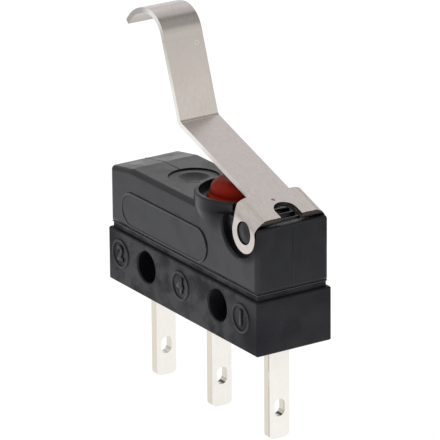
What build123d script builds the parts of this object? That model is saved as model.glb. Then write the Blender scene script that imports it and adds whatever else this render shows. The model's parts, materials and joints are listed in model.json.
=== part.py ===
# Sealed lever micro switch, in millimetres.
# The origin is midway between the two mounting holes, at mid thickness. +X runs towards the lever's
# pivot, +Z towards the lever's hook, and the marked front face looks along -Y.
# Names that end in _height are heights over the base's underside.

import math
import os

from build123d import *

# Housing
body_length = 19.8
body_width = 6.4
base_height = 4.1
corner_radius = 0.12
base_edge_bevel = 0.09
cover_inset = 0.12
cover_slope_length = 2.7
cover_slope_drop = 0.45
long_edge_radius = 0.38
end_edge_radius = 0.22
nose_rise = 0.2
nose_lead = 1.84
nose_ramp = 0.5
wall = 0.75
roof = 0.8
headroom = 1.09

# Joint between base and cover
groove_inset = 0.25
groove_rise = 0.4
seal_thickness = 0.1
cover_bevel_height = 0.25
upstand_rise = 0.85
upstand_wall = 0.6
joint_clearance = 0.03

# Mounting holes
hole_pitch = 9.5
hole_drop = 1.7
hole_diameter = 2.4
hole_bevel = 0.1

# Plunger, its collar and its boot
plunger_lead = 5.29
collar_rise = 0.75
collar_wall = 0.33
collar_rim_radius = 0.13
collar_skirt = 1.0
collar_taper = 0.65
ledge_depth = 0.5
lip_thickness = 0.4
flange_margin = 0.27
boot_flange_thickness = 0.3
boot_lip = 0.35
boot_foot_rise = 0.2
boot_foot_margin = 0.2
boot_rise = 0.85
boot_shoulder_radius = 0.95
boot_wall = 0.3
boot_clearance = 0.05
guide_hub_radius = 1.3
guide_hub_length = 0.6
plunger_head_thickness = 0.67
plunger_head_bevel = 0.45
plunger_head_clearance = 0.08
stem_radius = 0.6
stem_clearance = 0.05
stem_tip_bevel = 0.3
stem_gap = 0.05

# Marks moulded in the cover
dish_lead = 5.85
dish_radius = 1.93
dish_depth = 0.1
dimple_radius = 1.17
dimple_depth = 0.3
panel_margin = 1.7
panel_gap = 2.03
panel_rise = 1.6
panel_width = 2.55
panel_relief = 0.06

# Lever and its pivot
pivot_drop = 0.46
boss_radius = 0.8
boss_length = 0.35
boss_clearance = 0.06
boss_bevel = 0.08
end_wall = 0.21
pocket_clearance = 0.11
pocket_radius = 2.2
pocket_lift = 0.19
pocket_rounding = 0.2
backing_depth = 0.33
sheet = 0.4
ear_recess = 0.03
ear_gap = 0.05
ear_radius = 1.42
ear_drop = 0.1
ear_bend_radius = 1.1
ear_flare_radius = 1.5
ear_flare_start = 0.3
shoulder_reach = 0.39
tail_setback = 0.26
plate_gap = 0.142
arm_slope = 18.4
arm_width = 3.28
riser_slope = 70.6
riser_length = 7.888
kink_radius = 0.5
crown_radius = 2.0
crown_flat = 0.02
hook_drop = 51.0
hook_radius = 3.4
hook_straight = 0.32
hook_inset = 0.42
notch_half_width = 0.9
notch_reach = 0.54
punch_reach = 0.93
punch_side = 0.28
punch_radius = 0.16
punch_depth = 0.08
rib_count = 3
rib_pitch = 0.7
rib_lead = 0.59
rib_radius = 0.3
rib_width = 2.2
rib_rise = 0.35
rib_step = 0.12

# Terminals
common_shift = 0.11
nc_shift = 0.01
terminal_thickness = 0.7
terminal_width = 1.7
terminal_reach = 7.5
terminal_tip_radius = 0.35
terminal_bend_radius = 0.15
slot_relief = 0.06
eyelet_width = 0.9
eyelet_length = 1.35
eyelet_inset = 2.35
well_margin = 0.5
well_corner_radius = 0.4
well_depth = 0.9

# Contacts
contact_lead = 1.7
contact_radius = 0.55
contact_thickness = 0.3
contact_stem_radius = 0.3
contact_bevel = 0.1
contact_travel = 0.48
moving_face = 0.32
closed_gap = 0.03

# Snap mechanism on the common terminal
anchor_thickness = 0.5
anchor_foot_gap = 0.2
anchor_head = 0.5
anchor_width = 2.2
post_drop = 0.1
pivot_bite = 0.05
groove_clearance = 0.03
arm_rise = 0.52
arm_thickness = 0.25
arm_root_radius = 0.17
arm_strip_width = 1.2
arm_overhang = 0.95
blade_thickness = 0.16
blade_root_radius = 0.14
blade_width = 2.6
blade_tip_width = 1.6
blade_tip_margin = 0.7
blade_taper_gap = 0.3
blade_taper_lead = 0.6
window_span = 2.3
window_margin = 0.9
window_width = 1.5
rivet_radius = 0.3
rivet_head_radius = 0.5
rivet_head_thickness = 0.2
rivet_rise = 0.9
bow_foot = 0.55
bow_rise = 1.1
bow_width = 1.0
bow_thickness = 0.15
bow_gap = 0.04

# Lengths and widths
half_length = body_length / 2
half_width = body_width / 2
cover_half_length = half_length - cover_inset
cover_half_width = half_width - cover_inset
cavity_half_length = cover_half_length - wall
cavity_half_width = cover_half_width - wall
upstand_inset = cover_inset + wall + joint_clearance
pivot_x = cover_half_length - end_wall - pocket_clearance - ear_radius
plunger_x = pivot_x - plunger_lead
dish_x = plunger_x - dish_lead
pocket_x = cover_half_length - end_wall - pocket_radius
nose_start = pivot_x - nose_lead
panel_start = panel_margin - cover_half_length
panel_end = pocket_x - pocket_radius - panel_gap
ear_outer = cover_half_width - ear_recess
pocket_floor = ear_outer - sheet - ear_gap
collar_radius = half_width
collar_bore_radius = collar_radius - collar_wall
boot_flange_radius = collar_bore_radius - flange_margin
boot_foot_radius = boot_flange_radius - boot_lip
boot_radius = boot_foot_radius - boot_foot_margin
boot_inner_radius = boot_radius - boot_wall

# Terminals stand midway between a hole's edge and the cavity's end, but for a small shift
land_middle = (hole_pitch / 2 + hole_diameter / 2 + cavity_half_length) / 2
common_x = land_middle + common_shift
nc_x = -land_middle - nc_shift
no_x = (common_x + nc_x) / 2
contact_x = nc_x + contact_lead
anchor_face = common_x - terminal_thickness / 2 - anchor_thickness
root_x = anchor_face + pivot_bite
arm_tip = plunger_x - arm_overhang
window_start = arm_tip - window_span
window_end = root_x - window_margin

# Heights, from the base upwards
hole_height = base_height - hole_drop
groove_top_height = base_height + groove_rise
cover_foot_height = groove_top_height + seal_thickness
upstand_top_height = base_height + upstand_rise
no_face_height = base_height + terminal_thickness
blade_height = no_face_height + contact_thickness + contact_travel + moving_face + blade_thickness / 2
nc_shelf_height = blade_height + blade_thickness / 2 + moving_face + closed_gap + contact_thickness
arm_root_height = blade_height + arm_rise
anchor_top_height = arm_root_height + anchor_head
rivet_height = base_height + rivet_rise
ceiling_height = nc_shelf_height + terminal_thickness + headroom
cover_height = ceiling_height + roof
nose_height = cover_height + nose_rise
panel_height = cover_foot_height + panel_rise
pivot_height = cover_height - pivot_drop
pocket_height = pivot_height + pocket_lift
collar_height = cover_height + collar_rise
ledge_height = collar_height - ledge_depth
lip_foot_height = ledge_height - lip_thickness
guide_top_height = lip_foot_height - boot_flange_thickness
boot_top_height = collar_height + boot_rise
plunger_top_height = boot_top_height - boot_wall - plunger_head_clearance

# Lever, measured along its arm and square to it from the pivot
slope_cosine = math.cos(math.radians(arm_slope))
slope_sine = math.sin(math.radians(arm_slope))
arm_shoulder = ear_radius + shoulder_reach
arm_tail = ear_radius - tail_setback
plate_foot = (nose_height - pivot_height + plate_gap + arm_tail * slope_sine) / slope_cosine
arm_offset = plate_foot + sheet / 2
plate_top = plate_foot + sheet

# The arm turns up where the riser and the hook then end just short of the cover's far end
crown_setback = crown_radius * math.tan(math.radians(riser_slope) / 2)
hook_setback = hook_radius * math.tan(math.radians(hook_drop) / 2)
riser_run = riser_length * math.cos(math.radians(riser_slope))
crown_run = crown_setback + crown_flat + hook_setback
hook_run = (hook_setback + hook_straight) * math.cos(math.radians(hook_drop))
lever_run = pivot_x + arm_offset * slope_sine + cover_half_length - hook_inset
arm_kink = (lever_run - riser_run - crown_run - hook_run) / slope_cosine


def lift(height):
    """Z of a height over the base's underside."""
    return height - hole_height


def direction(angle):
    return (math.cos(math.radians(angle)), math.sin(math.radians(angle)))


def step(point, heading, distance):
    """Point reached from another along a heading."""
    return (point[0] + heading[0] * distance, point[1] + heading[1] * distance)


def bent_side(path, radii, shift):
    """One side of a bent sheet: straight runs and arcs, moved off the centreline by the shift."""
    headings = []
    for start, end in zip(path, path[1:]):
        run = math.dist(start, end)
        headings.append(((end[0] - start[0]) / run, (end[1] - start[1]) / run))
    normals = [(-z, x) for x, z in headings]
    edges = []
    last = step(path[0], normals[0], shift)
    for i, radius in enumerate(radii):
        before, after = headings[i], headings[i + 1]
        turn = math.atan2(before[0] * after[1] - before[1] * after[0],
                          before[0] * after[0] + before[1] * after[1])
        side = math.copysign(1, turn)
        bend = radius - shift * side
        middle = (normals[i][0] + normals[i + 1][0], normals[i][1] + normals[i + 1][1])
        corner = step(path[i + 1], middle, shift / (2 * math.cos(turn / 2) ** 2))
        setback = bend * math.tan(abs(turn) / 2)
        enter = step(corner, before, -setback)
        leave = step(corner, after, setback)
        centre = step(enter, normals[i], side * bend)
        inward = (centre[0] - corner[0], centre[1] - corner[1])
        reach = math.hypot(*inward)
        crest = step(centre, inward, -bend / reach)
        edges.append(Line(last, enter))
        edges.append(ThreePointArc(enter, crest, leave))
        last = leave
    edges.append(Line(last, step(path[-1], normals[-1], shift)))
    return edges


def bent_sheet(path, radii, thickness, width):
    """Sheet of constant thickness bent along a path of X, Z points, centred on Y = 0."""
    left = bent_side(path, radii, thickness / 2)
    right = bent_side(path, radii, -thickness / 2)
    ends = [Line(left[0] @ 0, right[0] @ 0), Line(left[-1] @ 1, right[-1] @ 1)]
    section = make_face(left + right + ends)
    return extrude(Plane.XZ * section, width / 2, both=True)


def upright(inset, radius, low, high):
    """Rounded block over the housing's plan, between two heights."""
    plan = RectangleRounded(body_length - 2 * inset, body_width - 2 * inset, radius)
    return extrude(Pos(0, 0, lift(low)) * plan, high - low)


def disc_x(x, height, radius, length):
    """Cylinder along X that starts at x."""
    return Pos(x, 0, lift(height)) * Rot(0, 90, 0) * Cylinder(
        radius, length, align=(Align.CENTER, Align.CENTER, Align.MIN))


def bar_y(x, height, radius, width):
    """Cylinder along Y, centred on Y = 0."""
    return Pos(x, 0, lift(height)) * Rot(90, 0, 0) * Cylinder(radius, width)


def disc_z(x, low, high, radius):
    """Cylinder along Z between two heights."""
    return Pos(x, 0, lift(low)) * Cylinder(
        radius, high - low, align=(Align.CENTER, Align.CENTER, Align.MIN))


def block(x_low, x_high, width, low, high):
    """Box centred on Y = 0, between two heights."""
    return Pos(x_low, 0, lift(low)) * Box(
        x_high - x_low, width, high - low, align=(Align.MIN, Align.CENTER, Align.MIN))


def terminal_slot(x, low, high):
    return block(x - terminal_thickness / 2, x + terminal_thickness / 2, terminal_width, low, high)


def terminal_well(x):
    """Space round a terminal in the underside, with rounded corners."""
    plan = RectangleRounded(terminal_thickness + 2 * well_margin,
                            terminal_width + 2 * well_margin, well_corner_radius)
    return extrude(Pos(x, 0, lift(0)) * plan, well_depth)


def post_relief(x):
    """Room in the upstand for a terminal that stands inside it, with the rivet's head."""
    reach = terminal_thickness / 2 + rivet_head_thickness + joint_clearance
    return block(x - reach, x + reach, terminal_width + 2 * joint_clearance, base_height,
                 upstand_top_height)


def make_base():
    body = upright(0, corner_radius, 0, base_height)
    body = chamfer(body.edges().filter_by(Plane.XY), base_edge_bevel)
    body += upright(groove_inset, corner_radius, base_height, groove_top_height)
    body += upright(upstand_inset, corner_radius, groove_top_height, upstand_top_height)
    body -= upright(upstand_inset + upstand_wall, corner_radius, base_height, upstand_top_height)
    for side in (-1, 1):
        x = side * hole_pitch / 2
        body -= bar_y(x, hole_height, hole_diameter / 2, body_width)
        for face in (-1, 1):
            flare = Cone(hole_diameter / 2 + hole_bevel, hole_diameter / 2, hole_bevel,
                         align=(Align.CENTER, Align.CENTER, Align.MIN))
            body -= Pos(x, face * half_width, 0) * Rot(face * 90, 0, 0) * flare
    for x in (common_x, no_x, nc_x):
        body -= terminal_slot(x, 0, base_height)
        body -= terminal_well(x)
    for x in (common_x, nc_x):
        body -= post_relief(x)
    bend = bar_y(no_x - terminal_thickness / 2, base_height, terminal_bend_radius + slot_relief,
                 terminal_width)
    return body - bend


def make_seal(x):
    """Potting that fills one terminal's well."""
    return terminal_well(x) - terminal_slot(x, 0, well_depth)


def make_cover_seal():
    ring = upright(groove_inset, corner_radius, groove_top_height, cover_foot_height)
    return ring - upright(upstand_inset, corner_radius, groove_top_height, cover_foot_height)


def cover_shell():
    """Outside of the cover: its side outline, rounded along the top, over a bevelled foot."""
    slope_end = cover_slope_length - cover_half_length
    outline = Polyline(
        (-cover_half_length, lift(groove_top_height)),
        (-cover_half_length, lift(cover_height - cover_slope_drop)),
        (slope_end, lift(cover_height)),
        (nose_start - nose_ramp, lift(cover_height)),
        (nose_start, lift(nose_height)),
        (cover_half_length, lift(nose_height)),
        (cover_half_length, lift(groove_top_height)),
        close=True)
    section = make_face(outline)
    ends = section.vertices().sort_by(Axis.Y)[-5:].sort_by(Axis.X)
    section = fillet([ends[0], ends[-1]], end_edge_radius)
    shell = extrude(Plane.XZ * section, cover_half_width, both=True)
    sides = shell.faces().sort_by(Axis.Y)
    tops = [edge for face in (sides[0], sides[-1]) for edge in face.edges()
            if edge.center().Z > lift(cover_height - cover_slope_drop - end_edge_radius)]
    shell = fillet(tops, long_edge_radius)
    foot = loft([
        Pos(0, 0, lift(cover_foot_height)) * RectangleRounded(
            body_length - 2 * groove_inset, body_width - 2 * groove_inset, corner_radius / 2),
        Pos(0, 0, lift(cover_foot_height + cover_bevel_height)) * RectangleRounded(
            2 * cover_half_length, 2 * cover_half_width, corner_radius)])
    upper = upright(cover_inset, corner_radius, cover_foot_height + cover_bevel_height,
                    collar_height)
    return shell & (foot + upper)


def collar():
    """Raised ring round the boot, tapered below to run out into the cover's sides."""
    foot_height = collar_height - collar_skirt
    ring = disc_z(plunger_x, foot_height, collar_height, collar_radius)
    ring = fillet(ring.edges().sort_by(Axis.Z)[-1], collar_rim_radius)
    taper = Cone(cover_half_width, collar_radius, collar_taper,
                 align=(Align.CENTER, Align.CENTER, Align.MAX))
    return ring + Pos(plunger_x, 0, lift(foot_height)) * taper


def pocket_rim(side):
    """What the rounding takes off the cover's side at the pocket's left edge, in plan."""
    edge = pocket_x - pocket_radius
    brow = edge - pocket_rounding
    inner = side * (cover_half_width - pocket_rounding)
    middle = (brow + pocket_rounding * math.sqrt(0.5),
              inner + side * pocket_rounding * math.sqrt(0.5))
    face = side * cover_half_width
    return make_face([
        ThreePointArc((edge, inner), middle, (brow, face)),
        Line((brow, face), (brow, side * collar_radius)),
        Line((brow, side * collar_radius), (edge, side * collar_radius)),
        Line((edge, side * collar_radius), (edge, inner))])


def pocket_cutter(side):
    """U-shaped recess for one ear, open upwards and sideways, with a rounded left edge."""
    depth = half_width - pocket_floor
    low = lift(pocket_height)
    high = collar_height - pocket_height
    cutter = bar_y(pocket_x, pocket_height, pocket_radius, depth)
    cutter += block(pocket_x - pocket_radius, pocket_x + pocket_radius, depth, pocket_height,
                    collar_height)
    cutter = Pos(0, side * (pocket_floor + depth / 2), 0) * cutter
    rim = Pos(0, 0, low) * pocket_rim(side)
    cutter += extrude(rim, high, dir=(0, 0, 1))
    cutter += revolve(rim, Axis((pocket_x, 0, low), (0, -1, 0)), 90)
    return cutter + nose_rounding(side)


def nose_rounding(side):
    """Rounds the nose's edge beside one pocket, to follow the inside of the lever's fold."""
    radius = ear_bend_radius - sheet
    corner = Pos(pocket_x - pocket_radius, side * pocket_floor, lift(nose_height)) * Box(
        2 * pocket_radius, 2 * radius, 2 * radius, align=(Align.MIN, Align.CENTER, Align.CENTER))
    rod = disc_x(pocket_x - pocket_radius, nose_height - radius, radius, 2 * pocket_radius)
    return corner - Pos(0, side * (pocket_floor - radius), 0) * rod


def cover_cavity():
    """Space inside the cover, narrower behind the ear pockets."""
    plan = RectangleRounded(2 * cavity_half_length, 2 * cavity_half_width, corner_radius)
    space = extrude(Pos(0, 0, lift(groove_top_height)) * plan, ceiling_height - groove_top_height)
    for side in (-1, 1):
        backing = Pos(pocket_x - pocket_radius - backing_depth, side * cavity_half_width,
                      lift(pocket_height - pocket_radius - backing_depth)) * Box(
            body_length, 2 * backing_depth, pocket_height,
            align=(Align.MIN, Align.CENTER, Align.MIN))
        space -= backing
    return space


def nose_ribs():
    """Ridges across the nose that follow the lever's slope."""
    ribs = []
    for i in range(rib_count):
        height = nose_height + rib_rise - i * rib_step - rib_radius
        ribs.append(bar_y(pivot_x - rib_lead + i * rib_pitch, height, rib_radius, rib_width))
    return ribs


def make_cover():
    body = cover_shell() + collar()
    body -= cover_cavity()
    body -= disc_z(plunger_x, ceiling_height, lip_foot_height, boot_flange_radius + boot_clearance)
    body -= disc_z(plunger_x, ceiling_height, ledge_height, boot_foot_radius + boot_clearance)
    body -= disc_z(plunger_x, ledge_height, collar_height, collar_bore_radius)
    for side in (-1, 1):
        body -= pocket_cutter(side)
        boss = Cylinder(boss_radius, boss_length, align=(Align.CENTER, Align.CENTER, Align.MIN))
        boss = chamfer(boss.edges().sort_by(Axis.Z)[-1], boss_bevel)
        body += Pos(pivot_x, side * pocket_floor, lift(pivot_height)) * Rot(-side * 90, 0, 0) * boss
    for rib in nose_ribs():
        body += rib
    body -= disc_z(dish_x, cover_height - dish_depth, collar_height, dish_radius)
    ball = (dimple_radius ** 2 + dimple_depth ** 2) / (2 * dimple_depth)
    body -= Pos(dish_x, 0, lift(cover_height - dish_depth - dimple_depth + ball)) * Sphere(ball)
    panel = extrude(SlotOverall(panel_end - panel_start, panel_width), 2 * panel_relief)
    panel = chamfer(panel.edges().group_by(Axis.Z)[-1], panel_relief)
    panel_x = (panel_start + panel_end) / 2
    panel = Pos(panel_x, panel_relief - cover_half_width, lift(panel_height)) * Rot(90, 0, 0) * panel
    return body + panel


def lever_spot(along, out):
    """X and Z of a point that lies along the arm and out from the pivot, square to the arm."""
    foot = step((pivot_x, lift(pivot_height)), direction(90 - arm_slope), out)
    return step(foot, direction(180 - arm_slope), along)


def lever_strip():
    """The arm, riser, crown and hook as one bent strip."""
    kink = lever_spot(arm_kink, arm_offset)
    crown = step(kink, direction(180 - riser_slope), riser_length)
    hook = step(crown, direction(180), crown_run)
    tip = step(hook, direction(180 + hook_drop), hook_setback + hook_straight)
    path = [lever_spot(arm_shoulder - sheet, arm_offset), kink, crown, hook, tip]
    return bent_sheet(path, [kink_radius, crown_radius, hook_radius], sheet, arm_width)


def ear_outline():
    """Side outline of the folded end: plate, tail, round ear and the flare up to the shoulder."""
    tail_foot = math.sqrt(ear_radius ** 2 - arm_tail ** 2) - ear_drop
    lean = math.acos(1 - shoulder_reach / ear_flare_radius)
    crest = ear_flare_start + ear_flare_radius * math.sin(lean)
    flare_middle = lever_spot(ear_radius + ear_flare_radius * (1 - math.cos(lean / 2)),
                              ear_flare_start + ear_flare_radius * math.sin(lean / 2))
    tail_low = lever_spot(-arm_tail, tail_foot)
    tail_high = lever_spot(-arm_tail, plate_top)
    ear_low = lever_spot(ear_radius, -ear_drop)
    flare_low = lever_spot(ear_radius, ear_flare_start)
    flare_high = lever_spot(arm_shoulder, crest)
    shoulder = lever_spot(arm_shoulder, plate_top)
    return [
        Line(tail_high, tail_low),
        ThreePointArc(tail_low, lever_spot(0, -ear_drop - ear_radius), ear_low),
        Line(ear_low, flare_low),
        ThreePointArc(flare_low, flare_middle, flare_high),
        Line(flare_high, shoulder),
        Line(shoulder, tail_high)]


def lever_channel():
    """Plate and two ears, folded as a channel along the arm's slope and cut to their outline."""
    drop = plate_top + ear_drop + ear_radius
    outer = Pos(0, -drop / 2) * Rectangle(2 * ear_outer, drop)
    inner = Pos(0, -drop / 2 - sheet) * Rectangle(2 * (ear_outer - sheet), drop)
    outer = fillet(outer.vertices().group_by(Axis.Y)[-1], ear_bend_radius)
    inner = fillet(inner.vertices().group_by(Axis.Y)[-1], ear_bend_radius - sheet)
    tail = lever_spot(-ear_radius, plate_top)
    forward = direction(180 - arm_slope)
    plane = Plane(origin=(tail[0], 0, tail[1]), x_dir=(0, -1, 0), z_dir=(forward[0], 0, forward[1]))
    channel = extrude(plane * (outer - inner), ear_radius + arm_shoulder)
    return channel & extrude(Plane.XZ * make_face(ear_outline()), half_width, both=True)


def notch_cutter():
    """Round-ended notch in the plate, cut square to it and open at the tail."""
    end = lever_spot(notch_reach, plate_top)
    normal = direction(90 - arm_slope)
    plane = Plane(origin=(end[0], 0, end[1]), x_dir=(normal[1], 0, -normal[0]),
                  z_dir=(normal[0], 0, normal[1]))
    length = 2 * (notch_reach + arm_tail)
    slot = plane * Pos(length / 2, 0) * SlotOverall(length, 2 * notch_half_width)
    return extrude(slot, 2 * sheet, both=True)


def make_lever():
    body = lever_strip() + lever_channel()
    body -= notch_cutter()
    body -= bar_y(pivot_x, pivot_height, boss_radius + boss_clearance, body_width)
    mark = lever_spot(punch_reach, plate_top)
    punch = Rot(0, arm_slope, 0) * Cylinder(punch_radius, 2 * punch_depth)
    return body - Pos(mark[0], -punch_side, mark[1]) * punch


def eyelet(x):
    """Oval solder hole through one terminal."""
    hole = SlotOverall(eyelet_length, eyelet_width)
    hole = Plane.YZ * Rot(0, 0, 90) * hole
    return extrude(Pos(x, 0, lift(eyelet_inset - terminal_reach)) * hole, terminal_thickness,
                   both=True)


def finish_terminal(body, x):
    """Rounds a terminal's tip corners and cuts its solder hole."""
    corners = body.edges().filter_by(Axis.X).group_by(Axis.Z)[0]
    return fillet(corners, terminal_tip_radius) - eyelet(x)


def make_common_terminal():
    body = terminal_slot(common_x, -terminal_reach, anchor_top_height - post_drop)
    body = finish_terminal(body, common_x)
    return body - disc_x(common_x - terminal_thickness, rivet_height, rivet_radius,
                         2 * terminal_thickness)


def bent_terminal(x, shelf_height, shelf_end):
    """Terminal that turns towards the contacts with its shelf's underside at a height."""
    level = shelf_height + terminal_thickness / 2
    path = [(x, lift(-terminal_reach)), (x, lift(level)), (shelf_end, lift(level))]
    body = bent_sheet(path, [terminal_thickness / 2 + terminal_bend_radius], terminal_thickness,
                      terminal_width)
    return finish_terminal(body, x)


def contact_stem(low):
    return disc_z(contact_x, low, low + contact_thickness, contact_stem_radius)


def make_no_terminal():
    body = bent_terminal(no_x, base_height, contact_x - contact_radius)
    return body - contact_stem(no_face_height - contact_thickness)


def make_nc_terminal():
    body = bent_terminal(nc_x, nc_shelf_height, contact_x + contact_radius)
    return body - contact_stem(nc_shelf_height)


def contact_head(low, high, worked):
    """Contact face, bevelled on its working side."""
    head = disc_z(contact_x, low, high, contact_radius)
    rims = head.edges().filter_by(GeomType.CIRCLE).sort_by(Axis.Z)
    return chamfer(rims[worked], contact_bevel)


def make_no_contact():
    head = contact_head(no_face_height, no_face_height + contact_thickness, -1)
    return head + contact_stem(no_face_height - contact_thickness)


def make_nc_contact():
    head = contact_head(nc_shelf_height - contact_thickness, nc_shelf_height, 0)
    return head + contact_stem(nc_shelf_height)


def make_moving_contact():
    top = blade_height + blade_thickness / 2
    bottom = blade_height - blade_thickness / 2
    neck = disc_z(contact_x, bottom, top, contact_stem_radius)
    upper = contact_head(top, top + moving_face, -1)
    return neck + upper + contact_head(bottom - moving_face, bottom, 0)


def root_groove(height, radius):
    """Half-round groove that one root bead rocks in."""
    return bar_y(root_x, height, radius + groove_clearance, body_width)


def make_blade_anchor():
    body = block(anchor_face, anchor_face + anchor_thickness, anchor_width,
                 base_height + anchor_foot_gap, anchor_top_height)
    body -= root_groove(arm_root_height, arm_root_radius)
    body -= root_groove(blade_height, blade_root_radius)
    return body - disc_x(anchor_face, rivet_height, rivet_radius, anchor_thickness)


def make_anchor_rivet():
    length = anchor_thickness + terminal_thickness
    body = disc_x(anchor_face, rivet_height, rivet_radius, length)
    for x in (anchor_face - rivet_head_thickness, anchor_face + length):
        body += disc_x(x, rivet_height, rivet_head_radius, rivet_head_thickness)
    return body


def make_actuating_arm():
    strip = block(arm_tip, root_x, arm_strip_width, arm_root_height - arm_thickness / 2,
                  arm_root_height + arm_thickness / 2)
    corners = strip.edges().filter_by(Axis.Z).group_by(Axis.X)[0]
    strip = fillet(corners, arm_thickness)
    return strip + bar_y(root_x, arm_root_height, arm_root_radius, arm_strip_width)


def make_moving_blade():
    tip = contact_x - blade_tip_margin
    taper_start = window_start - blade_taper_gap
    taper_end = contact_x + blade_taper_lead
    outline = make_face(Polyline(
        (root_x, blade_width / 2), (taper_start, blade_width / 2),
        (taper_end, blade_tip_width / 2), (tip, blade_tip_width / 2),
        (tip, -blade_tip_width / 2), (taper_end, -blade_tip_width / 2),
        (taper_start, -blade_width / 2), (root_x, -blade_width / 2),
        close=True))
    outline = fillet(outline.vertices().group_by(Axis.X)[0], blade_tip_width / 4)
    window = Pos((window_start + window_end) / 2, 0) * RectangleRounded(
        window_end - window_start, window_width, blade_thickness)
    sheet_face = Pos(0, 0, lift(blade_height)) * (outline - window)
    body = extrude(sheet_face, blade_thickness / 2, both=True)
    body += bar_y(root_x, blade_height, blade_root_radius, blade_width)
    return body - disc_z(contact_x, blade_height - blade_thickness,
                         blade_height + blade_thickness, contact_stem_radius)


def make_snap_spring():
    """Bowed strip: a foot on the blade beside its window, and an end against the arm's tip."""
    top = lift(blade_height + (blade_thickness + bow_thickness) / 2)
    end = (arm_tip - bow_gap - bow_thickness / 2, lift(arm_root_height))
    middle = (window_start + end[0]) / 2
    crest = top + bow_rise + bow_thickness
    path = [(window_start - bow_foot, top), (window_start, top), (middle, crest), end]
    return bent_sheet(path, [bow_foot, bow_foot], bow_thickness, bow_width)


def make_plunger():
    tip_height = arm_root_height + arm_thickness / 2 + stem_gap
    head = disc_z(plunger_x, plunger_top_height - plunger_head_thickness, plunger_top_height,
                  boot_inner_radius - 2 * plunger_head_clearance)
    head = chamfer(head.edges().sort_by(Axis.Z)[-1], plunger_head_bevel)
    stem = disc_z(plunger_x, tip_height, plunger_top_height - plunger_head_thickness, stem_radius)
    stem = chamfer(stem.edges().sort_by(Axis.Z)[0], stem_tip_bevel)
    return head + stem


def make_plunger_guide():
    hub_foot = ceiling_height - guide_hub_length
    body = disc_z(plunger_x, ceiling_height, guide_top_height, boot_flange_radius)
    body += disc_z(plunger_x, hub_foot, ceiling_height, guide_hub_radius)
    return body - disc_z(plunger_x, hub_foot, guide_top_height, stem_radius + stem_clearance)


def make_plunger_boot():
    """Rubber dome on a foot and a flange that the cover's lip holds down."""
    body = disc_z(plunger_x, guide_top_height, boot_top_height, boot_radius)
    body = fillet(body.edges().sort_by(Axis.Z)[-1], boot_shoulder_radius)
    body += disc_z(plunger_x, guide_top_height, lip_foot_height, boot_flange_radius)
    body += disc_z(plunger_x, lip_foot_height, ledge_height + boot_foot_rise, boot_foot_radius)
    hollow = disc_z(plunger_x, guide_top_height, boot_top_height - boot_wall, boot_inner_radius)
    hollow = chamfer(hollow.edges().sort_by(Axis.Z)[-1], plunger_head_bevel)
    return body - hollow


def main():
    os.makedirs("parts", exist_ok=True)
    nodes = {
        "base": make_base(),
        "cover": make_cover(),
        "cover_seal": make_cover_seal(),
        "common_terminal": make_common_terminal(),
        "no_terminal": make_no_terminal(),
        "nc_terminal": make_nc_terminal(),
        "common_seal": make_seal(common_x),
        "no_seal": make_seal(no_x),
        "nc_seal": make_seal(nc_x),
        "no_contact": make_no_contact(),
        "nc_contact": make_nc_contact(),
        "blade_anchor": make_blade_anchor(),
        "anchor_rivet": make_anchor_rivet(),
        "moving_blade": make_moving_blade(),
        "moving_contact": make_moving_contact(),
        "actuating_arm": make_actuating_arm(),
        "snap_spring": make_snap_spring(),
        "plunger": make_plunger(),
        "plunger_guide": make_plunger_guide(),
        "plunger_boot": make_plunger_boot(),
        "lever": make_lever(),
    }
    for name, solid in nodes.items():
        export_step(solid, f"parts/{name}.step")


main()
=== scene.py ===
# looks for a sealed lever micro switch, in metres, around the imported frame
import json
import math

import bmesh
import bpy
from mathutils import Matrix, Vector


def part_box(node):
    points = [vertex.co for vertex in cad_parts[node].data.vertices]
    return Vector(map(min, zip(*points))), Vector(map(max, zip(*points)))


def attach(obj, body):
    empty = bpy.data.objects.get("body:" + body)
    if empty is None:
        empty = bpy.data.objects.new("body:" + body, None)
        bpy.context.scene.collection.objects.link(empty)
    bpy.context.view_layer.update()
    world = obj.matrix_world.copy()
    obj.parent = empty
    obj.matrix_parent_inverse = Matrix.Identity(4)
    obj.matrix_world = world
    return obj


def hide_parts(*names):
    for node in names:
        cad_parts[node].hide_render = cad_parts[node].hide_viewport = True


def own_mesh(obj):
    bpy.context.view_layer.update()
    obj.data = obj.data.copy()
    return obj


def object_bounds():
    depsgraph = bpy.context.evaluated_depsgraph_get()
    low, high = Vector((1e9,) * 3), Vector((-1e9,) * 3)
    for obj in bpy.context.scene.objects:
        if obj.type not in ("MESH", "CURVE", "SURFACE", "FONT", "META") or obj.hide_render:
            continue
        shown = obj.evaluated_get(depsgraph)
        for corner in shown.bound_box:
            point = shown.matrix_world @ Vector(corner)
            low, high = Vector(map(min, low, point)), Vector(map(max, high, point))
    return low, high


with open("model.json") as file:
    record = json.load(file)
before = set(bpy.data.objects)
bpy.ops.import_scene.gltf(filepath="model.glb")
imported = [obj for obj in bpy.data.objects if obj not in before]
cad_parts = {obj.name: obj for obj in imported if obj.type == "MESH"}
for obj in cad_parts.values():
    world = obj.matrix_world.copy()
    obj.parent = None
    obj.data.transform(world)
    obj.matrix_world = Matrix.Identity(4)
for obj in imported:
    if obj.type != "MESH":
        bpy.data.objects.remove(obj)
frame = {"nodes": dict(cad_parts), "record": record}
nodes = frame["nodes"]
cadLow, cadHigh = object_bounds()
print("frame loaded, pieces:", len(nodes))

mm = 0.001
noiseSpan = (0.3, 0.7)  # where most of a noise's values lie


def startMaterial(name):
    # a fresh material, its nodes, its shader and the place in object space
    mat = bpy.data.materials.new(name)
    mat.use_nodes = True
    tree = mat.node_tree
    coord = tree.nodes.new("ShaderNodeTexCoord")
    return mat, tree, tree.nodes["Principled BSDF"], coord.outputs["Object"]


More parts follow.
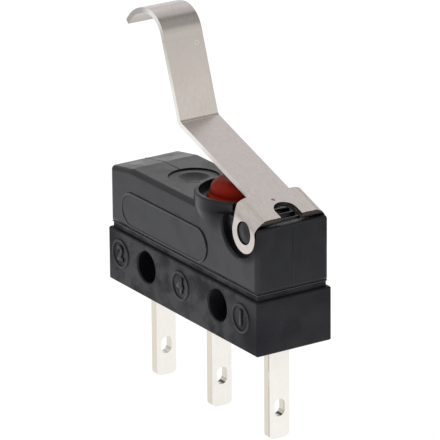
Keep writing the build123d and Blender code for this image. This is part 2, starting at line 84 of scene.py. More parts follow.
def addNoise(tree, vector, scale, detail, rough, stretch=(1, 1, 1), offset=(0, 0, 0)):
    # noise in object space, scale in repeats per metre
    mapping = tree.nodes.new("ShaderNodeMapping")
    mapping.inputs["Scale"].default_value = stretch
    mapping.inputs["Location"].default_value = offset
    noise = tree.nodes.new("ShaderNodeTexNoise")
    noise.inputs["Scale"].default_value = scale
    noise.inputs["Detail"].default_value = detail
    noise.inputs["Roughness"].default_value = rough
    tree.links.new(vector, mapping.inputs["Vector"])
    tree.links.new(mapping.outputs["Vector"], noise.inputs["Vector"])
    return noise.outputs["Fac"]


def addRange(tree, value, span, low=0, high=1, eased=False):
    # low at the span's first end and before it, high at its second and past it
    node = tree.nodes.new("ShaderNodeMapRange")
    if eased:
        node.interpolation_type = "SMOOTHSTEP"
    for name, number in zip(("From Min", "From Max", "To Min", "To Max"), (*span, low, high)):
        node.inputs[name].default_value = number
    tree.links.new(value, node.inputs["Value"])
    return node.outputs["Result"]


def addMath(tree, operation, first, second=0):
    # either value a number or a socket
    node = tree.nodes.new("ShaderNodeMath")
    node.operation = operation
    for socket, value in zip(node.inputs, (first, second)):
        if isinstance(value, (int, float)):
            socket.default_value = value
        else:
            tree.links.new(value, socket)
    return node.outputs["Value"]


def addMix(tree, factor, first, second):
    # colour mix, either end a tuple or a socket
    node = tree.nodes.new("ShaderNodeMix")
    node.data_type = "RGBA"
    tree.links.new(factor, node.inputs["Factor"])
    for socket, value in ((node.inputs[6], first), (node.inputs[7], second)):
        if isinstance(value, tuple):
            socket.default_value = (*value, 1)
        else:
            tree.links.new(value, socket)
    return node.outputs[2]


def addSplit(tree, vector):
    # a vector's three parts, by their names X, Y and Z
    node = tree.nodes.new("ShaderNodeSeparateXYZ")
    tree.links.new(vector, node.inputs["Vector"])
    return node.outputs


def addSpot(tree, vector, middle, span, share=1):
    # share in a small ball round a point, fading to 0 over the span of radius
    node = tree.nodes.new("ShaderNodeVectorMath")
    node.operation = "DISTANCE"
    node.inputs[1].default_value = middle
    tree.links.new(vector, node.inputs[0])
    return addRange(tree, node.outputs["Value"], span, share, 0)


def addFacing(tree, vector, heading, span, low, high):
    # how far a vector points along a heading, eased between two ends
    node = tree.nodes.new("ShaderNodeVectorMath")
    node.operation = "DOT_PRODUCT"
    node.inputs[1].default_value = heading
    tree.links.new(vector, node.inputs[0])
    return addRange(tree, node.outputs["Value"], span, low, high, eased=True)


def linkShader(tree, shader, tone, rough, height, relief):
    # tone, roughness and a fine relief in metres
    tree.links.new(tone, shader.inputs["Base Color"])
    tree.links.new(rough, shader.inputs["Roughness"])
    bump = tree.nodes.new("ShaderNodeBump")
    bump.inputs["Distance"].default_value = relief
    tree.links.new(height, bump.inputs["Height"])
    tree.links.new(bump.outputs["Normal"], shader.inputs["Normal"])


# black moulded plastic of the housing

housing = {"dark": (0.003, 0.003, 0.0045), "light": (0.0095, 0.0095, 0.012),
           "sheenTint": (0.93, 0.94, 1.0),
           "grain": {"scale": 9000, "detail": 4, "rough": 0.6},
           "cloud": {"scale": 420, "detail": 3, "rough": 0.5},
           "stain": {"scale": 620, "detail": 4, "rough": 0.55, "offset": (5, 2, 7)},
           "toneSpan": (0.12, 0.42), "stainSpan": (0.42, 0.62),
           "roughLow": 0.20, "roughMore": 0.8, "relief": 0.0022 * mm}


def housingPlastic(name, tint=1.0, gloss=1.49, cloudLight=1.0, roughHigh=0.33, mottle=0.0,
                   hollows=()):
    # satin plastic; mottle and hollows roughen it, in clouds and round given points
    mat, tree, shader, place = startMaterial(name)
    grain = addNoise(tree, place, **housing["grain"])
    cloud = addNoise(tree, place, **housing["cloud"])
    stain = addNoise(tree, place, **housing["stain"])
    blend = addRange(tree, addMath(tree, "MULTIPLY", grain, cloud), housing["toneSpan"])
    dark = tuple(c * tint for c in housing["dark"])
    light = tuple(c * tint * cloudLight for c in housing["light"])
    dull = addRange(tree, stain, housing["stainSpan"], 0, mottle)
    for middle, span, share in hollows:
        dull = addMath(tree, "MAXIMUM", dull, addSpot(tree, place, middle, span, share))
    dull = addMath(tree, "MULTIPLY", dull, housing["roughMore"])
    rough = addRange(tree, cloud, noiseSpan, housing["roughLow"], roughHigh)
    rough = addMath(tree, "MINIMUM", addMath(tree, "ADD", rough, dull), 1)
    shader.inputs["IOR"].default_value = gloss
    shader.inputs["Specular Tint"].default_value = (*housing["sheenTint"], 1)
    linkShader(tree, shader, addMix(tree, blend, dark, light), rough, grain, housing["relief"])
    return mat


# rolled steel of the lever: its tones, its noises, then where each mark starts and ends

# several tones below are painted light: highlight on the arm's cut edges, shadow at the plate's
# end, shade on the bend, the crease and the hook's end; the shaded tone also darkens the grain's
# dull streaks and the stains
lever = {"warm": (0.69, 0.635, 0.575), "cool": (0.69, 0.625, 0.605),
         "stainAndShade": (0.56, 0.51, 0.475), "pit": (0.25, 0.22, 0.20), "cut": (0.95, 0.93, 0.90),
         "endShadow": (0.05, 0.046, 0.042), "tipShade": (0.44, 0.405, 0.385),
         "grain": {"scale": 7000, "detail": 5, "rough": 0.7, "stretch": (0.3, 1, 0.3)},
         "patch": {"scale": 420, "detail": 3, "rough": 0.5},
         "pits": {"scale": 2600, "detail": 1, "rough": 0.3},
         "stain": {"scale": 1100, "detail": 4, "rough": 0.6, "offset": (3, 1, 2)},
         "ragged": {"scale": 5200, "detail": 3, "rough": 0.6, "offset": (1, 4, 2)},
         "uprightSpan": (0.45, 0.85), "flatShift": -0.16, "uprightShift": 0.2,
         "warmSpan": (0.4, 0.6), "dullSpan": (0.62, 0.30), "dullShare": 0.75,
         "stainSpan": (0.56, 0.74), "stainShare": 0.45,
         "pitSpan": (0.78, 0.84), "pitShare": 0.35,
         "edgeSpan": (0.7, 0.9), "highlightReach": (2.6 * mm, 0.1 * mm),
         "endShadowSpan": (9.575 * mm, 9.595 * mm), "endShadowDepth": 0.15 * mm,
         "endSpan": (0.55, 0.7), "endReach": (9.2 * mm, 9.3 * mm),
         "bendRise": (13.5 * mm, 17.0 * mm), "bendFall": (18.6 * mm, 17.6 * mm),
         "bendShare": 0.75,
         "creaseShade": 17.12 * mm, "creaseSpan": (0.03 * mm, 0.09 * mm), "creaseShare": 0.7,
         "ring": (-4.09 * mm, 1.0 * mm, 16.68 * mm), "ringOuter": (0.19 * mm, 0.23 * mm),
         "ringInner": (0.11 * mm, 0.15 * mm), "ringShare": 0.22,
         "tipSpan": (-6.2 * mm, -7.4 * mm), "tipShare": 0.9,
         "punch": (7.10 * mm, -0.28 * mm, 8.29 * mm), "punchSpan": (0.048 * mm, 0.08 * mm),
         "grainShare": 0.6, "patchShare": 0.4, "roughLow": 0.20, "roughHigh": 0.30,
         "relief": 0.0007 * mm}


def rolledSteel(name):
    # rolled grain over cooler and warmer patches, with upright faces warmer as a painted
    # reflection tint, then each mark over the one before
    mat, tree, shader, place = startMaterial(name)
    spot = addSplit(tree, place)
    facing = addSplit(tree, tree.nodes.new("ShaderNodeNewGeometry").outputs["Normal"])
    grain = addNoise(tree, place, **lever["grain"])
    patch = addNoise(tree, place, **lever["patch"])
    # upright faces turn warmer: a painted reflection tint
    uprightReflectionTint = addRange(tree, addMath(tree, "ABSOLUTE", facing["X"]), lever["uprightSpan"],
                       lever["flatShift"], lever["uprightShift"])
    warmth = addRange(tree, addMath(tree, "ADD", patch, uprightReflectionTint), lever["warmSpan"])
    tone = addMix(tree, warmth, lever["cool"], lever["warm"])

    dull = addRange(tree, grain, lever["dullSpan"], 0, lever["dullShare"])
    stain = addNoise(tree, place, **lever["stain"])
    stain = addRange(tree, stain, lever["stainSpan"], 0, lever["stainShare"])
    pits = addNoise(tree, place, **lever["pits"])
    pits = addRange(tree, pits, lever["pitSpan"], 0, lever["pitShare"])

    # painted highlight on the sheet's cut edges along the arm, fading out towards the pivot end
    edge = addRange(tree, addMath(tree, "ABSOLUTE", facing["Y"]), lever["edgeSpan"])
    edge = addMath(tree, "MULTIPLY", edge, addRange(tree, spot["X"], lever["highlightReach"]))
    # painted shadow, dark and ragged, in the gap at the plate's end, and on the plate's end
    # faces
    ragged = addMath(tree, "SUBTRACT", addNoise(tree, place, **lever["ragged"]), 0.5)
    reach = addMath(tree, "MULTIPLY", ragged, lever["endShadowDepth"])
    endShadow = addRange(tree, addMath(tree, "ADD", spot["X"], reach), lever["endShadowSpan"])
    endFaceShadow = addMath(tree, "MULTIPLY", addRange(tree, facing["X"], lever["endSpan"]),
                      addRange(tree, spot["X"], lever["endReach"]))

    # painted shade on the bend and along the crease across the riser, the coined ring, painted
    # shade on the hook's end, the punch
    bendShade = addMath(tree, "MULTIPLY", addRange(tree, spot["Z"], lever["bendRise"]),
                   addRange(tree, spot["Z"], lever["bendFall"], 0, lever["bendShare"]))
    # painted shade along the crease across the riser
    creaseShade = addMath(tree, "ABSOLUTE", addMath(tree, "SUBTRACT", spot["Z"], lever["creaseShade"]))
    creaseShade = addRange(tree, creaseShade, lever["creaseSpan"], lever["creaseShare"], 0)
    ringHole = addMath(tree, "SUBTRACT", 1,
                       addSpot(tree, place, lever["ring"], lever["ringInner"]))
    ring = addSpot(tree, place, lever["ring"], lever["ringOuter"], lever["ringShare"])
    ring = addMath(tree, "MULTIPLY", ring, ringHole)
    # painted shade on the hook's end
    tipShade = addRange(tree, spot["X"], lever["tipSpan"], 0, lever["tipShare"])
    punch = addSpot(tree, place, lever["punch"], lever["punchSpan"])

    for share, colour in ((dull, "stainAndShade"), (stain, "stainAndShade"), (pits, "pit"), (edge, "cut"),
                          (endShadow, "endShadow"), (endFaceShadow, "endShadow"), (bendShade, "stainAndShade"),
                          (creaseShade, "stainAndShade"), (ring, "cut"), (tipShade, "tipShade"), (punch, "pit")):
        tone = addMix(tree, share, tone, lever[colour])

    rough = addMath(tree, "ADD", addMath(tree, "MULTIPLY", grain, lever["grainShare"]),
                    addMath(tree, "MULTIPLY", patch, lever["patchShare"]))
    rough = addRange(tree, rough, noiseSpan, lever["roughLow"], lever["roughHigh"])
    shader.inputs["Metallic"].default_value = 1
    linkShader(tree, shader, tone, rough, grain, lever["relief"])
    return mat


# plated strip of the three terminals

tabs = {"plate": (0.90, 0.872, 0.83), "dull": (0.865, 0.835, 0.785), "cut": (0.66, 0.60, 0.51),
        "scar": (0.16, 0.14, 0.12),
        "grain": {"scale": 5200, "detail": 4, "rough": 0.65, "stretch": (1, 1, 0.06)},
        "patch": {"scale": 700, "detail": 4, "rough": 0.6},
        "breaks": {"scale": 900, "detail": 2, "rough": 0.5, "offset": (2, 9, 4)},
        "patchSpan": (0.35, 0.7), "edgeSpan": (0.6, 0.9), "edgeShare": 0.8,
        "shearLine": 7.86 * mm, "lineSpan": (0.02 * mm, 0.05 * mm),
        "breakSpan": (0.40, 0.46), "breakShare": 0.8,
        "roughLow": 0.24, "roughHigh": 0.30, "relief": 0.0003 * mm}


def platedTab(name):
    # silver plate on the wide faces, the strip's own warm metal on the sheared edges
    mat, tree, shader, place = startMaterial(name)
    spot = addSplit(tree, place)
    facing = addSplit(tree, place.node.outputs["Normal"])
    grain = addNoise(tree, place, **tabs["grain"])
    patch = addRange(tree, addNoise(tree, place, **tabs["patch"]), tabs["patchSpan"])
    plate = addMix(tree, patch, tabs["plate"], tabs["dull"])
    edge = addRange(tree, addMath(tree, "ABSOLUTE", facing["Y"]), tabs["edgeSpan"],
                    0, tabs["edgeShare"])
    tone = addMix(tree, edge, plate, tabs["cut"])

    # broken dark line where the shear let go, on the terminal nearest the pivot
    gap = addMath(tree, "ABSOLUTE", addMath(tree, "SUBTRACT", spot["X"], tabs["shearLine"]))
    breaks = addNoise(tree, place, **tabs["breaks"])
    breaks = addRange(tree, breaks, tabs["breakSpan"], 0, tabs["breakShare"])
    line = addMath(tree, "MULTIPLY", addRange(tree, gap, tabs["lineSpan"], 1, 0), breaks)
    tone = addMix(tree, addMath(tree, "MULTIPLY", line, edge), tone, tabs["scar"])

    rough = addRange(tree, grain, noiseSpan, tabs["roughLow"], tabs["roughHigh"])
    shader.inputs["Metallic"].default_value = 1
    linkShader(tree, shader, tone, rough, grain, tabs["relief"])
    return mat


# red rubber of the boot

rubber = {"deep": (0.25, 0.009, 0.001), "bright": (0.38, 0.018, 0.003),
          "grain": {"scale": 7000, "detail": 4, "rough": 0.6},
          "cloud": {"scale": 900, "detail": 3, "rough": 0.5},
          "roughLow": 0.46, "roughHigh": 0.58, "sheen": 0.12, "relief": 0.003 * mm}


def redRubber(name):
    mat, tree, shader, place = startMaterial(name)
    grain = addNoise(tree, place, **rubber["grain"])
    cloud = addRange(tree, addNoise(tree, place, **rubber["cloud"]), noiseSpan)
    tone = addMix(tree, cloud, rubber["deep"], rubber["bright"])
    rough = addRange(tree, grain, noiseSpan, rubber["roughLow"], rubber["roughHigh"])
    shader.inputs["Specular IOR Level"].default_value = rubber["sheen"]
    linkShader(tree, shader, tone, rough, grain, rubber["relief"])
    return mat


# metals and plastics of the small pieces inside

inside = {"metal": {"grain": {"scale": 6000, "detail": 4, "rough": 0.65}, "metallic": 1,
                    "smoother": 0.06, "rougher": 0.08, "relief": 0.0008 * mm},
          "plastic": {"grain": {"scale": 8000, "detail": 3, "rough": 0.6}, "metallic": 0,
                      "smoother": 0.05, "rougher": 0.07, "relief": 0.003 * mm}}


def plainFinish(kind, name, pale, deep, rough, stretch=(1, 1, 1)):
    # one grain gives the colour, the roughness and the relief
    look = inside[kind]
    mat, tree, shader, place = startMaterial(name)
    grain = addNoise(tree, place, stretch=stretch, **look["grain"])
    tone = addMix(tree, addRange(tree, grain, noiseSpan), deep, pale)
    roughness = addRange(tree, grain, noiseSpan, rough - look["smoother"],
                         rough + look["rougher"])
    shader.inputs["Metallic"].default_value = look["metallic"]
    linkShader(tree, shader, tone, roughness, grain, look["relief"])
    return mat


# where the plastic has less sheen: middle, radius of the full effect and of its end, share
coverHollows = [((4.3 * mm, -3.4 * mm, 6.9 * mm), (0.6 * mm, 1.9 * mm), 0.6),
                ((8.04 * mm, -2.9 * mm, 6.3 * mm), (1.6 * mm, 2.3 * mm), 0.7),
                ((8.04 * mm, 2.9 * mm, 6.3 * mm), (1.6 * mm, 2.3 * mm), 0.7)]
baseHollows = [((9.0 * mm, -3.2 * mm, -1.2 * mm), (0.6 * mm, 3.4 * mm), 0.55),
               ((-9.9 * mm, -3.2 * mm, 0.6 * mm), (0.6 * mm, 3.2 * mm), 0.45)]

finishes = {
    "housing_black": housingPlastic("housingPlastic", mottle=0.12, hollows=coverHollows),
    "seal_rubber": plainFinish("plastic", "sealRubber", pale=(0.006, 0.006, 0.006),
                               deep=(0.003, 0.003, 0.003), rough=0.7),
    "terminal_plate": platedTab("platedTab"),
    "potting": plainFinish("plastic", "pottingResin", pale=(0.016, 0.016, 0.018),
                           deep=(0.01, 0.01, 0.011), rough=0.2),
    "contact_silver": plainFinish("metal", "contactSilver", pale=(0.88, 0.87, 0.85),
                                  deep=(0.78, 0.77, 0.75), rough=0.3),
    "anchor_brass": plainFinish("metal", "anchorBrass", pale=(0.78, 0.60, 0.32),
                                deep=(0.66, 0.50, 0.27), rough=0.32, stretch=(1, 1, 0.1)),
    "spring_bronze": plainFinish("metal", "springBronze", pale=(0.80, 0.50, 0.30),
                                 deep=(0.68, 0.42, 0.26), rough=0.26, stretch=(0.08, 1, 1)),
    "plunger_plastic": plainFinish("plastic", "plungerPlastic", pale=(0.72, 0.70, 0.63),
                                   deep=(0.64, 0.62, 0.56), rough=0.4),
    "boot_rubber": redRubber("bootRubber"),
    "lever_steel": rolledSteel("leverSteel"),
}
baseFinish = housingPlastic("basePlastic", gloss=1.39, cloudLight=1.9, roughHigh=0.45,
                            mottle=0.42, hollows=baseHollows)
markFinish = housingPlastic("markPlastic", tint=0.8, gloss=1.38)
# paler, glossier bead finish: its paler tone is a painted highlight on the panel's bead and the
# joint lip
beadHighlightFinish = housingPlastic("beadPlasticPaintedHighlight", tint=1.6, gloss=1.72)
bossFinish = housingPlastic("bossPlastic", gloss=1.33)

slotOf = {row["node"]: row["material_slot"] for row in frame["record"]["subparts"]}
for nodeName, nodeObject in nodes.items():
    finish = baseFinish if nodeName == "base" else finishes[slotOf[nodeName]]
    if not nodeObject.material_slots:
        nodeObject.data.materials.append(finish)
    for materialSlot in nodeObject.material_slots:
        materialSlot.material = finish
print("finishes on the frame")


# helpers for new pieces

def clearSelection():
    bpy.ops.object.select_all(action="DESELECT")


def pickVertices(test):
    # in edit mode, leaves selected only the vertices whose place passes the test
    bpy.ops.mesh.select_mode(type="VERT")
    bpy.ops.mesh.select_all(action="DESELECT")
    mesh = bpy.context.object.data
    edit = bmesh.from_edit_mesh(mesh)
    for vertex in edit.verts:
        if test(vertex.co):
            vertex.select_set(True)
    edit.select_flush_mode()
    bmesh.update_edit_mesh(mesh)


def closeMesh(gap=0.0005 * mm):
    # merges doubles, turns every face outwards and leaves edit mode
    bpy.ops.object.mode_set(mode="EDIT")
    bpy.ops.mesh.select_all(action="SELECT")
    bpy.ops.mesh.remove_doubles(threshold=gap)
    bpy.ops.mesh.normals_make_consistent(inside=False)
    bpy.ops.object.mode_set(mode="OBJECT")


def finishPiece(piece, name, finish, body="housing", smooth=35):
    # settles the piece's place in its mesh, then its name, finish and body
    clearSelection()
    piece.select_set(True)
    bpy.context.view_layer.objects.active = piece
    bpy.ops.object.transform_apply(location=True, rotation=True, scale=True)
    bpy.ops.object.shade_smooth_by_angle(angle=math.radians(smooth))
    piece.name = name
    piece.data.materials.clear()
    piece.data.materials.append(finish)
    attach(piece, body)


# rubber boot over the plunger; crown and roof are steps from the axis or wall and from the top

boot = {"middle": 2.75 * mm, "foot": 6.45 * mm, "held": 6.75 * mm, "skirt": 7.3 * mm,
        "top": 8.5 * mm, "flange": 2.6 * mm, "skirtRadius": 2.25 * mm, "radius": 2.05 * mm,
        "shoulder": 0.95 * mm, "shoulderSteps": 9, "wall": 0.3 * mm, "ridge": 0.035 * mm,
        "ridgeTop": 0.18 * mm, "ridgeLow": 0.10 * mm, "softIn": 0.03 * mm, "softDown": 0.06 * mm,
        "crown": ((0, 0.02 * mm), (0.5 * mm, 0.005 * mm)),
        "roof": ((0, 0.55 * mm), (0.12 * mm, 0.25 * mm), (0.45 * mm, 0)),
        "spinSteps": 96, "doubles": 0.002 * mm, "smooth": 42, "keep": 0.578}


def bootProfile():
    # radius and height of the outside from the crown down, then of the inside back up
    outer = [(radius, boot["top"] - drop) for radius, drop in boot["crown"]]
    for i in range(boot["shoulderSteps"] + 1):
        turn = math.radians(90 - i * 90 / boot["shoulderSteps"])
        outer.append((boot["radius"] - boot["shoulder"] * (1 - math.cos(turn)),
                      boot["top"] - boot["shoulder"] * (1 - math.sin(turn))))
    outer += [(boot["radius"], boot["skirt"] + boot["ridgeTop"]),
              (boot["radius"] + boot["ridge"], boot["skirt"] + boot["ridgeLow"]),
              (boot["skirtRadius"] - boot["softIn"], boot["skirt"]),
              (boot["skirtRadius"], boot["skirt"] - boot["softDown"]),
              (boot["skirtRadius"], boot["held"]),
              (boot["flange"], boot["held"]), (boot["flange"], boot["foot"])]
    wallRadius = boot["radius"] - boot["wall"]
    roof = boot["top"] - boot["wall"]
    inner = [(wallRadius - step, roof - drop) for step, drop in boot["roof"]]
    return outer + [(wallRadius, boot["foot"])] + inner + [(0, roof)]


def makeBoot():
    # a point drawn along the profile and spun round the plunger's axis
    clearSelection()
    points = bootProfile()
    bpy.ops.mesh.primitive_plane_add(size=mm, location=(0, 0, 0))
    piece = bpy.context.object
    bpy.ops.object.mode_set(mode="EDIT")
    bpy.ops.mesh.select_all(action="SELECT")
    bpy.ops.mesh.merge(type="CENTER")
    bpy.ops.transform.translate(value=(boot["middle"] + points[0][0], 0, points[0][1]))
    for last, point in zip(points, points[1:]):
        step = (point[0] - last[0], 0, point[1] - last[1])
        bpy.ops.mesh.extrude_region_move(TRANSFORM_OT_translate={"value": step})
    bpy.ops.mesh.select_all(action="SELECT")
    bpy.ops.mesh.spin(steps=boot["spinSteps"], angle=2 * math.pi,
                      center=(boot["middle"], 0, 0), axis=(0, 0, 1))
    closeMesh(boot["doubles"])
    finishPiece(piece, "rubber_boot", finishes["boot_rubber"],
                smooth=boot["smooth"])
    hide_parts("plunger_boot")
    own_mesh(piece)


makeBoot()
print("boot ready")


# marks moulded on the base's front, each a ring round the terminal's number

marks = {"radius": 1.02 * mm, "segments": 64, "line": 0.115 * mm, "proud": 0.085 * mm,
         "digitSize": 1.5 * mm, "bold": 0.06 * mm, "round": 0.02 * mm, "height": 0.0,
         "places": {"2": -8.24 * mm, "4": -0.09 * mm, "1": 7.86 * mm}}


def standOnFront(piece, x, y, z):
    # turns a flat shape drawn in X and Y upright on the front, with its place in its mesh
    turn = Matrix.Rotation(math.radians(90), 4, "X")
    piece.data.transform(Matrix.Translation((x, y, z)) @ turn)


def ringTube(radius, run, bead, segments):
    # closed tube along a circle, or along a long oval when its halves are drawn apart
    clearSelection()
    bpy.ops.mesh.primitive_circle_add(vertices=segments, radius=radius, location=(0, 0, 0))
    ring = bpy.context.object
    if run:
        bpy.ops.object.mode_set(mode="EDIT")
        for side in (-1, 1):
            pickVertices(lambda spot: spot.x * side > 0.001 * mm)
            bpy.ops.transform.translate(value=(side * run, 0, 0))
        bpy.ops.object.mode_set(mode="OBJECT")
    bpy.ops.object.convert(target="CURVE")
    ring.data.bevel_depth = bead
    ring.data.bevel_resolution = 3
    bpy.ops.object.convert(target="MESH")
    return bpy.context.object


def makeMark(digit, x):
    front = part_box("base")[0].y
    ring = ringTube(marks["radius"], 0, marks["line"], marks["segments"])
    ring.data.transform(Matrix.Diagonal((1, 1, marks["proud"] / marks["line"], 1)))
    clearSelection()
    bpy.ops.object.text_add(location=(0, 0, 0))
    label = bpy.context.object
    label.data.body = digit
    label.data.size = marks["digitSize"]
    label.data.align_x = "CENTER"
    label.data.align_y = "CENTER"
    label.data.extrude = marks["proud"] - marks["round"]
    label.data.bevel_depth = marks["round"]
    label.data.bevel_resolution = 1
    label.data.offset = marks["bold"]
    bpy.ops.object.convert(target="MESH")
    label = bpy.context.object
    clearSelection()
    label.select_set(True)
    ring.select_set(True)
    bpy.context.view_layer.objects.active = ring
    bpy.ops.object.join()
    standOnFront(ring, x, front, marks["height"])
    closeMesh()
    finishPiece(ring, "mark_" + digit, markFinish)


for digit, x in marks["places"].items():
    makeMark(digit, x)
print("marks ready")


# raised bead round the bare panel on the cover's front, its paler tone a painted highlight

panel = {"middle": -2.43 * mm, "height": 3.8 * mm, "seat": -3.118 * mm,
         "radius": 1.275 * mm, "run": 4.375 * mm, "bead": 0.085 * mm, "segments": 48}


def makePanelBead():
    bead = ringTube(panel["radius"], panel["run"], panel["bead"], panel["segments"])
    standOnFront(bead, panel["middle"], panel["seat"], panel["height"])
    closeMesh()
    finishPiece(bead, "panel_bead", beadHighlightFinish)


makePanelBead()
print("panel bead ready")


# thin lip that the seal leaves along the joint between base and cover, its paler tone a painted
# highlight line

lip = {"long": 9.665 * mm, "wide": 2.965 * mm, "height": 2.15 * mm, "bead": 0.04 * mm}


def makeJointLip():
    # a rectangle's outline as a thin tube
    clearSelection()
    bpy.ops.mesh.primitive_plane_add(size=1, location=(0, 0, 0))
    piece = bpy.context.object
    piece.scale = (2 * lip["long"], 2 * lip["wide"], 1)
    piece.location = (0, 0, lip["height"])
    bpy.ops.object.transform_apply(location=True, rotation=True, scale=True)
    bpy.ops.object.mode_set(mode="EDIT")
    bpy.ops.mesh.select_all(action="SELECT")
    bpy.ops.mesh.delete(type="ONLY_FACE")
    bpy.ops.object.mode_set(mode="OBJECT")
    bpy.ops.object.convert(target="CURVE")
    piece.data.bevel_depth = lip["bead"]
    piece.data.bevel_resolution = 2
    bpy.ops.object.convert(target="MESH")
    closeMesh()
    finishPiece(bpy.context.object, "joint_lip", beadHighlightFinish)


makeJointLip()
print("joint lip ready")


# fine lines that the mould's halves leave along the cover's middle

seams = {"width": 0.07 * mm, "proud": 0.02 * mm, "sunk": 0.05 * mm, "soft": 0.012 * mm,
         "softAngle": 30, "doubles": 0.002 * mm,
         "topStart": -9.74 * mm, "topBreak": -7.08 * mm, "topEnd": -5.06 * mm,
         "topLow": 6.45 * mm, "topHigh": 6.9 * mm, "endFoot": 2.5 * mm, "endTop": 6.7 * mm}


def startBar(middle, size):
    # a bar with its place in its mesh, to be shaped further
    clearSelection()
    bpy.ops.mesh.primitive_cube_add(size=1, location=middle)
    piece = bpy.context.object
    piece.scale = size
    bpy.ops.object.transform_apply(location=True, rotation=True, scale=True)
    return piece


def softenSeam(piece):
    bevel = piece.modifiers.new("edges", "BEVEL")
    bevel.width = seams["soft"]
    bevel.segments = 2
    bevel.limit_method = "ANGLE"
    bevel.angle_limit = math.radians(seams["softAngle"])
    bpy.ops.object.modifier_apply(modifier="edges")


def makeTopSeam():
    # a slim bar that follows the slope at the far end up to the dish
    depth = seams["proud"] + seams["sunk"]
    middle = seams["topHigh"] + (seams["proud"] - seams["sunk"]) / 2
    piece = startBar(((seams["topStart"] + seams["topEnd"]) / 2, 0, middle),
                     (seams["topEnd"] - seams["topStart"], seams["width"], depth))
    bpy.ops.object.mode_set(mode="EDIT")
    bpy.ops.mesh.select_all(action="SELECT")
    bpy.ops.mesh.bisect(plane_co=(seams["topBreak"], 0, 0), plane_no=(1, 0, 0))
    pickVertices(lambda spot: spot.x < seams["topBreak"] - 0.1 * mm)
    bpy.ops.transform.translate(value=(0, 0, seams["topLow"] - seams["topHigh"]))
    closeMesh(seams["doubles"])
    softenSeam(piece)
    finishPiece(piece, "top_seam", finishes["housing_black"])


def makeEndSeam():
    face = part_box("cover")[1].x
    depth = seams["proud"] + seams["sunk"]
    middle = face + (seams["proud"] - seams["sunk"]) / 2
    piece = startBar((middle, 0, (seams["endFoot"] + seams["endTop"]) / 2),
                     (depth, seams["width"], seams["endTop"] - seams["endFoot"]))
    softenSeam(piece)
    finishPiece(piece, "end_seam", finishes["housing_black"])


makeTopSeam()
makeEndSeam()
print("mould lines ready")


# slightly domed ends of the two pivot bosses; each ring steps in by inset of the radius
# and up by its own share of the dome

bossEnd = {"x": 8.04 * mm, "height": 6.44 * mm, "radius": 0.77 * mm, "segments": 48,
           "face": 2.95 * mm, "dome": 0.07 * mm, "inset": 0.24,
           "rings": (0.20, 0.28, 0.32, 0.20), "wall": 0.05 * mm, "smooth": 60}


def makeBossEnd(side, name):
    clearSelection()
    bpy.ops.mesh.primitive_circle_add(vertices=bossEnd["segments"], radius=bossEnd["radius"],
                                      fill_type="NGON", location=(0, 0, 0))
    piece = bpy.context.object
    bpy.ops.object.mode_set(mode="EDIT")
    bpy.ops.mesh.select_all(action="SELECT")
    for share in bossEnd["rings"]:
        bpy.ops.mesh.inset(thickness=bossEnd["radius"] * bossEnd["inset"])
        bpy.ops.transform.translate(value=(0, 0, bossEnd["dome"] * share))
    bpy.ops.object.mode_set(mode="OBJECT")
    wall = piece.modifiers.new("wall", "SOLIDIFY")
    wall.thickness = bossEnd["wall"]
    wall.offset = -1
    bpy.ops.object.modifier_apply(modifier="wall")
    turn = Matrix.Rotation(math.radians(-90 * side), 4, "X")
    middle = (bossEnd["x"], side * bossEnd["face"], bossEnd["height"])
    piece.data.transform(Matrix.Translation(middle) @ turn)
    closeMesh()
    finishPiece(piece, name, bossFinish, smooth=bossEnd["smooth"])


makeBossEnd(-1, "boss_end_front")
makeBossEnd(1, "boss_end_back")
print("boss ends ready")


# camera, floor and lights

camera = {"place": (0.26892, -0.17470, 0.11966), "azimuth": 56.961, "elevation": 19.764,
          "roll": -0.483, "lens": 384.6, "sensor": 36, "near": 0.01, "far": 10}


def makeCamera():
    az, el, roll = (math.radians(camera[k]) for k in ("azimuth", "elevation", "roll"))
    back = Vector((math.sin(az) * math.cos(el), -math.cos(az) * math.cos(el), math.sin(el)))
    level = Vector((math.cos(az), math.sin(az), 0))
    up = back.cross(level)
    right = level * math.cos(roll) + up * math.sin(roll)
    top = up * math.cos(roll) - level * math.sin(roll)
    turn = Matrix((right, top, back)).transposed().to_4x4()
    lensData = bpy.data.cameras.new("camera")
    lensData.lens = camera["lens"]
    lensData.sensor_width = camera["sensor"]
    lensData.clip_start = camera["near"]
    lensData.clip_end = camera["far"]
    holder = bpy.data.objects.new("camera", lensData)
    holder.matrix_world = Matrix.Translation(camera["place"]) @ turn
    bpy.context.scene.collection.objects.link(holder)
    bpy.context.scene.camera = holder


floorLook = {"size": 3.0, "tone": (0.30, 0.30, 0.30), "rough": 0.9,
             "glow": 0.88, "glowLeft": 0.60, "glowRight": 0.22,
             "right": (0.545, 0.838, 0), "leftSpan": (-0.085, -0.018),
             "rightSpan": (0.014, 0.055)}


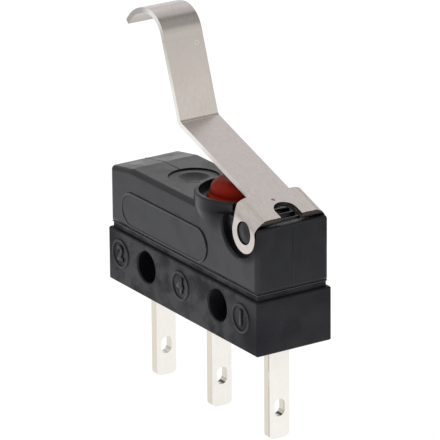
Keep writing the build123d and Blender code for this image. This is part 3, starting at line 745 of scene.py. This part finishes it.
def makeFloor():
    # lit from below under the object, and dimmer to its sides
    clearSelection()
    bpy.ops.mesh.primitive_plane_add(size=floorLook["size"], location=(0, 0, cadLow.z))
    floor = bpy.context.object
    floor.name = "floor"
    mat, tree, shader, place = startMaterial("paleFloor")
    shader.inputs["Base Color"].default_value = (*floorLook["tone"], 1)
    shader.inputs["Roughness"].default_value = floorLook["rough"]
    shader.inputs["Emission Color"].default_value = (1, 1, 1, 1)
    glow = floorLook["glow"]
    onRight = addFacing(tree, place, floorLook["right"], floorLook["rightSpan"],
                        0, floorLook["glowRight"] - glow)
    onLeft = addFacing(tree, place, floorLook["right"], floorLook["leftSpan"],
                       floorLook["glowLeft"] - glow, 0)
    sides = addMath(tree, "ADD", onRight, onLeft)
    tree.links.new(addMath(tree, "ADD", sides, glow), shader.inputs["Emission Strength"])
    floor.data.materials.append(mat)


# strength of the room's light, added up: away from each heading, and towards it
room = {"behind": {"heading": (-0.84, 0.54, 0), "span": (0.86, 1.0), "low": 0, "high": 0.56},
        "aside": {"heading": (0.853, 0.512, 0.10), "span": (0.85, 0.97), "low": 0, "high": 0.46},
        "front": {"heading": (-0.50, -0.52, 0.69), "span": (0.62, 0.95), "low": 0, "high": 0.30},
        "ceiling": {"heading": (-0.06, 0.53, 0.845), "span": (0.89, 0.98),
                    "low": 0.46, "high": 0.31}}


def makeWorld():
    # an even dim room with three paler parts, and a darker one over the back
    world = bpy.data.worlds.new("studio")
    world.use_nodes = True
    tree = world.node_tree
    sky = tree.nodes["Background"]
    sky.inputs["Color"].default_value = (1, 1, 1, 1)
    heading = tree.nodes.new("ShaderNodeTexCoord").outputs["Generated"]
    strength = 0
    for part in room.values():
        strength = addMath(tree, "ADD", strength, addFacing(tree, heading, **part))
    tree.links.new(strength, sky.inputs["Strength"])
    bpy.context.scene.world = world


softbox = {"place": (-0.17, 0.20, 0.30), "aim": (0, 0, 0), "size": 0.30, "power": 0.11}


def makeSoftbox():
    lamp = bpy.data.lights.new("topBox", "AREA")
    lamp.shape = "RECTANGLE"
    lamp.size = lamp.size_y = softbox["size"]
    lamp.energy = softbox["power"]
    box = bpy.data.objects.new("topBox", lamp)
    box.location = softbox["place"]
    aim = Vector(softbox["aim"]) - Vector(softbox["place"])
    box.rotation_mode = "QUATERNION"
    box.rotation_quaternion = aim.to_track_quat("-Z", "Y")
    bpy.context.scene.collection.objects.link(box)


makeCamera()
makeFloor()
makeWorld()
makeSoftbox()
bpy.context.scene.view_settings.view_transform = "Standard"
print("camera, floor and lights ready")
